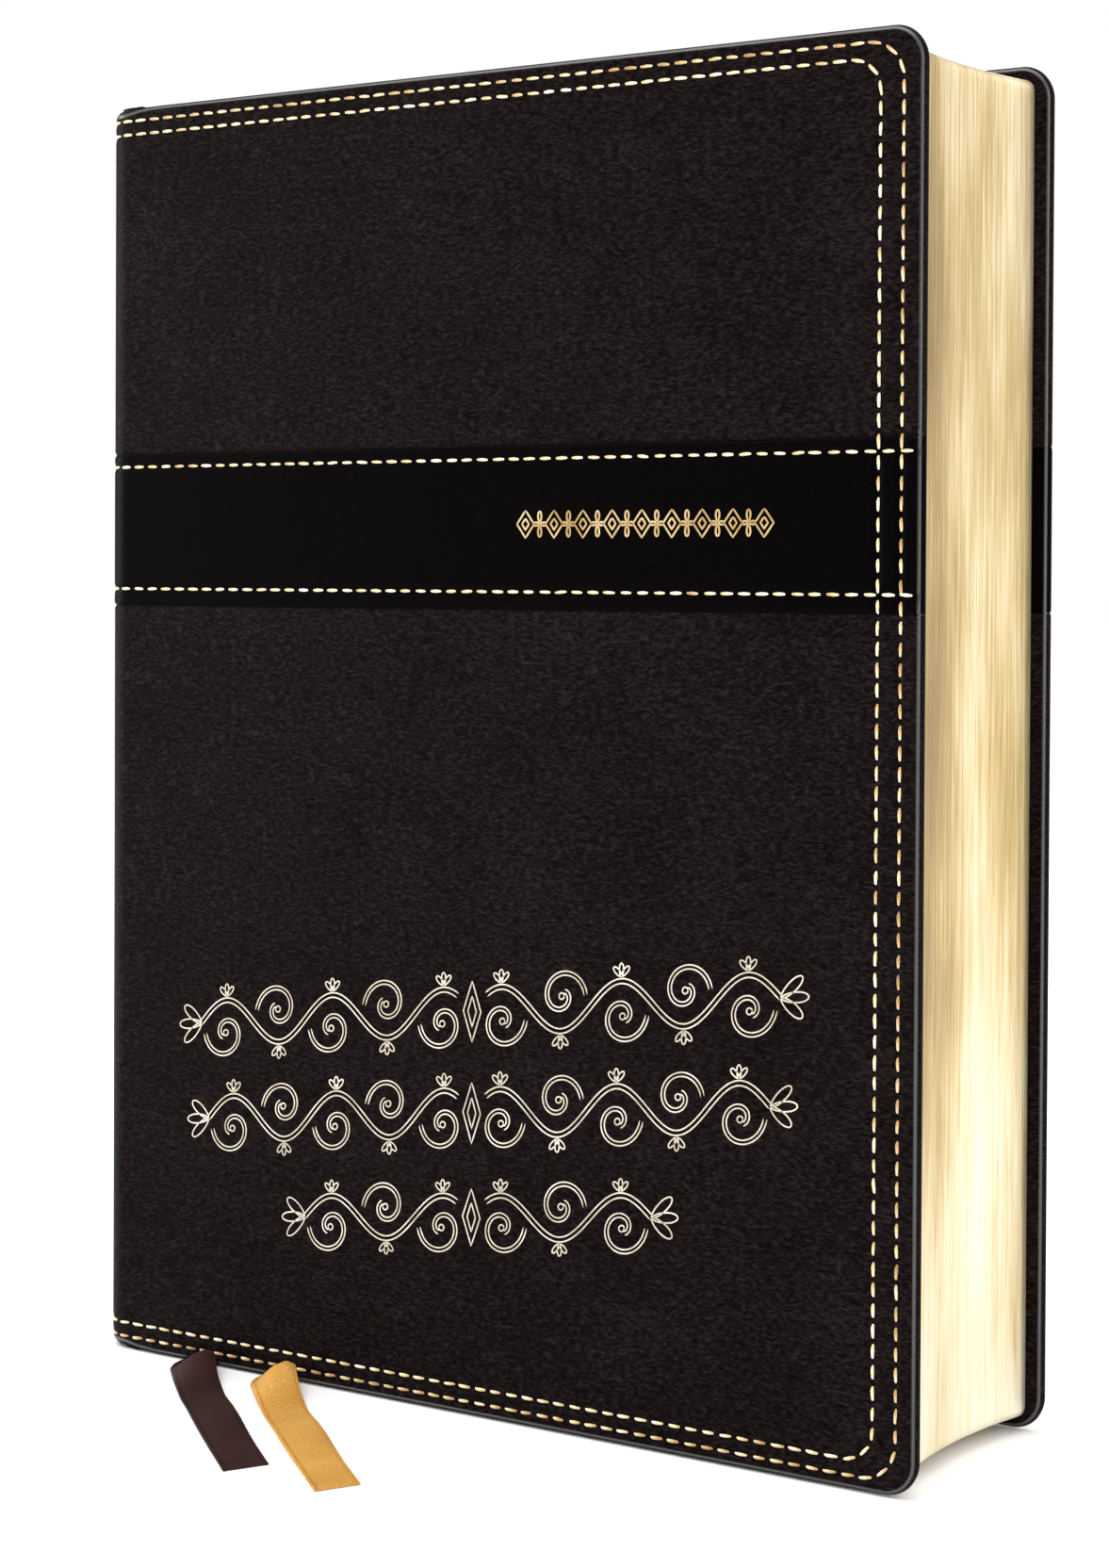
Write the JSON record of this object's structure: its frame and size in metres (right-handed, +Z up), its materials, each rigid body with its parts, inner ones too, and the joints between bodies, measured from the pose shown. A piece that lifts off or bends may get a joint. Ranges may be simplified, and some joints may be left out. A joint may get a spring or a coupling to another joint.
{
  "type": "bible",
  "caption": "Thick standing bible with a leather-look cover, a smooth band, double stitching, gilt page edges, hinged covers, turning leaves and ribbon markers.",
  "frame": {"origin": "centre of the closed book's footprint, on the surface that it stands on, without the ribbons", "axes": "+Z up from tail to head; front cover faces -Y; spine at -X and fore-edge at +X"},
  "size_m": [0.176, 0.0996, 0.238],
  "materials": {
    "cover_leather": "fine horizontal grain, satin",
    "band_leather": "smooth, satin",
    "thread": "two-tone cream and gold thread",
    "card": "matte grey card",
    "endpaper": "matte",
    "gilt_paper": "gilt edges with brushed streaks, cream leaves",
    "lining_cloth": "open weave",
    "bead": "woven stripes",
    "brown_ribbon": "satin",
    "gold_ribbon": "satin"
  },
  "bodies": {
    "book_block": {"back_endpaper_gutter": "endpaper", "brown_ribbon": "brown_ribbon", "brown_ribbon_tail": "brown_ribbon", "front_endpaper_gutter": "endpaper", "gold_ribbon": "gold_ribbon", "gold_ribbon_tail": "gold_ribbon", "headband": "bead", "section_01_gutter": "gilt_paper", "section_02_gutter": "gilt_paper", "section_03": "gilt_paper", "section_04": "gilt_paper", "section_05": "gilt_paper", "section_06": "gilt_paper", "section_07": "gilt_paper", "section_08": "gilt_paper", "section_09": "gilt_paper", "section_10_gutter": "gilt_paper", "section_11_gutter": "gilt_paper", "sewing_thread_1": "lining_cloth", "sewing_thread_2": "lining_cloth", "sewing_thread_3": "lining_cloth", "sewing_thread_4": "lining_cloth", "spine_band": "band_leather", "spine_band_lower_stitching": "thread", "spine_band_upper_stitching": "thread", "spine_head_inner_stitching": "thread", "spine_head_outer_stitching": "thread", "spine_lower_leather": "cover_leather", "spine_mull": "lining_cloth", "spine_stiffener": "card", "spine_tail_inner_stitching": "thread", "spine_tail_outer_stitching": "thread", "spine_upper_leather": "cover_leather", "tailband": "bead"},
    "front_cover": {"front_band": "band_leather", "front_board": "card", "front_lower_leather": "cover_leather", "front_pastedown": "endpaper", "front_stitching": "thread", "front_upper_leather": "cover_leather"},
    "back_cover": {"back_band": "band_leather", "back_board": "card", "back_lower_leather": "cover_leather", "back_pastedown": "endpaper", "back_stitching": "thread", "back_upper_leather": "cover_leather"},
    "front_flyleaf": {"front_flyleaf": "endpaper"},
    "back_flyleaf": {"back_flyleaf": "endpaper"},
    "front_section_outer": {"section_01_leaves": "gilt_paper"},
    "front_section_inner": {"section_02_leaves": "gilt_paper"},
    "back_section_inner": {"section_10_leaves": "gilt_paper"},
    "back_section_outer": {"section_11_leaves": "gilt_paper"}
  },
  "joints": [
    {"name": "front_cover_hinge", "type": "hinge", "parent": "book_block", "child": "front_cover", "pos_m": [-0.08, -0.025, 0.119], "axis": [0, 0, -1], "range_deg": [0, 170], "deforming": ["brown_ribbon_tail", "gold_ribbon_tail"]},
    {"name": "back_cover_hinge", "type": "hinge", "parent": "book_block", "child": "back_cover", "pos_m": [-0.08, 0.025, 0.119], "axis": [0, 0, 1], "range_deg": [0, 170]},
    {"name": "front_flyleaf_turn", "type": "hinge", "parent": "book_block", "child": "front_flyleaf", "pos_m": [-0.0797, -0.02185, 0.119], "axis": [0, 0, -1], "range_deg": [0, 84]},
    {"name": "front_section_outer_turn", "type": "hinge", "parent": "book_block", "child": "front_section_outer", "pos_m": [-0.0797, -0.02135, 0.119], "axis": [0, 0, -1], "range_deg": [0, 59]},
    {"name": "front_section_inner_turn", "type": "hinge", "parent": "book_block", "child": "front_section_inner", "pos_m": [-0.0797, -0.0181, 0.119], "axis": [0, 0, -1], "range_deg": [0, 28]},
    {"name": "back_flyleaf_turn", "type": "hinge", "parent": "book_block", "child": "back_flyleaf", "pos_m": [-0.0797, 0.02185, 0.119], "axis": [0, 0, 1], "range_deg": [0, 84]},
    {"name": "back_section_outer_turn", "type": "hinge", "parent": "book_block", "child": "back_section_outer", "pos_m": [-0.0797, 0.02135, 0.119], "axis": [0, 0, 1], "range_deg": [0, 59]},
    {"name": "back_section_inner_turn", "type": "hinge", "parent": "book_block", "child": "back_section_inner", "pos_m": [-0.0797, 0.0181, 0.119], "axis": [0, 0, 1], "range_deg": [0, 28]}
  ],
  "couplings": [
    {"joint": "front_flyleaf_turn", "follows": "front_cover_hinge", "ratio": 0.48},
    {"joint": "front_section_outer_turn", "follows": "front_cover_hinge", "ratio": 0.34},
    {"joint": "front_section_inner_turn", "follows": "front_cover_hinge", "ratio": 0.16},
    {"joint": "back_flyleaf_turn", "follows": "back_cover_hinge", "ratio": 0.48},
    {"joint": "back_section_outer_turn", "follows": "back_cover_hinge", "ratio": 0.34},
    {"joint": "back_section_inner_turn", "follows": "back_cover_hinge", "ratio": 0.16}
  ]
}
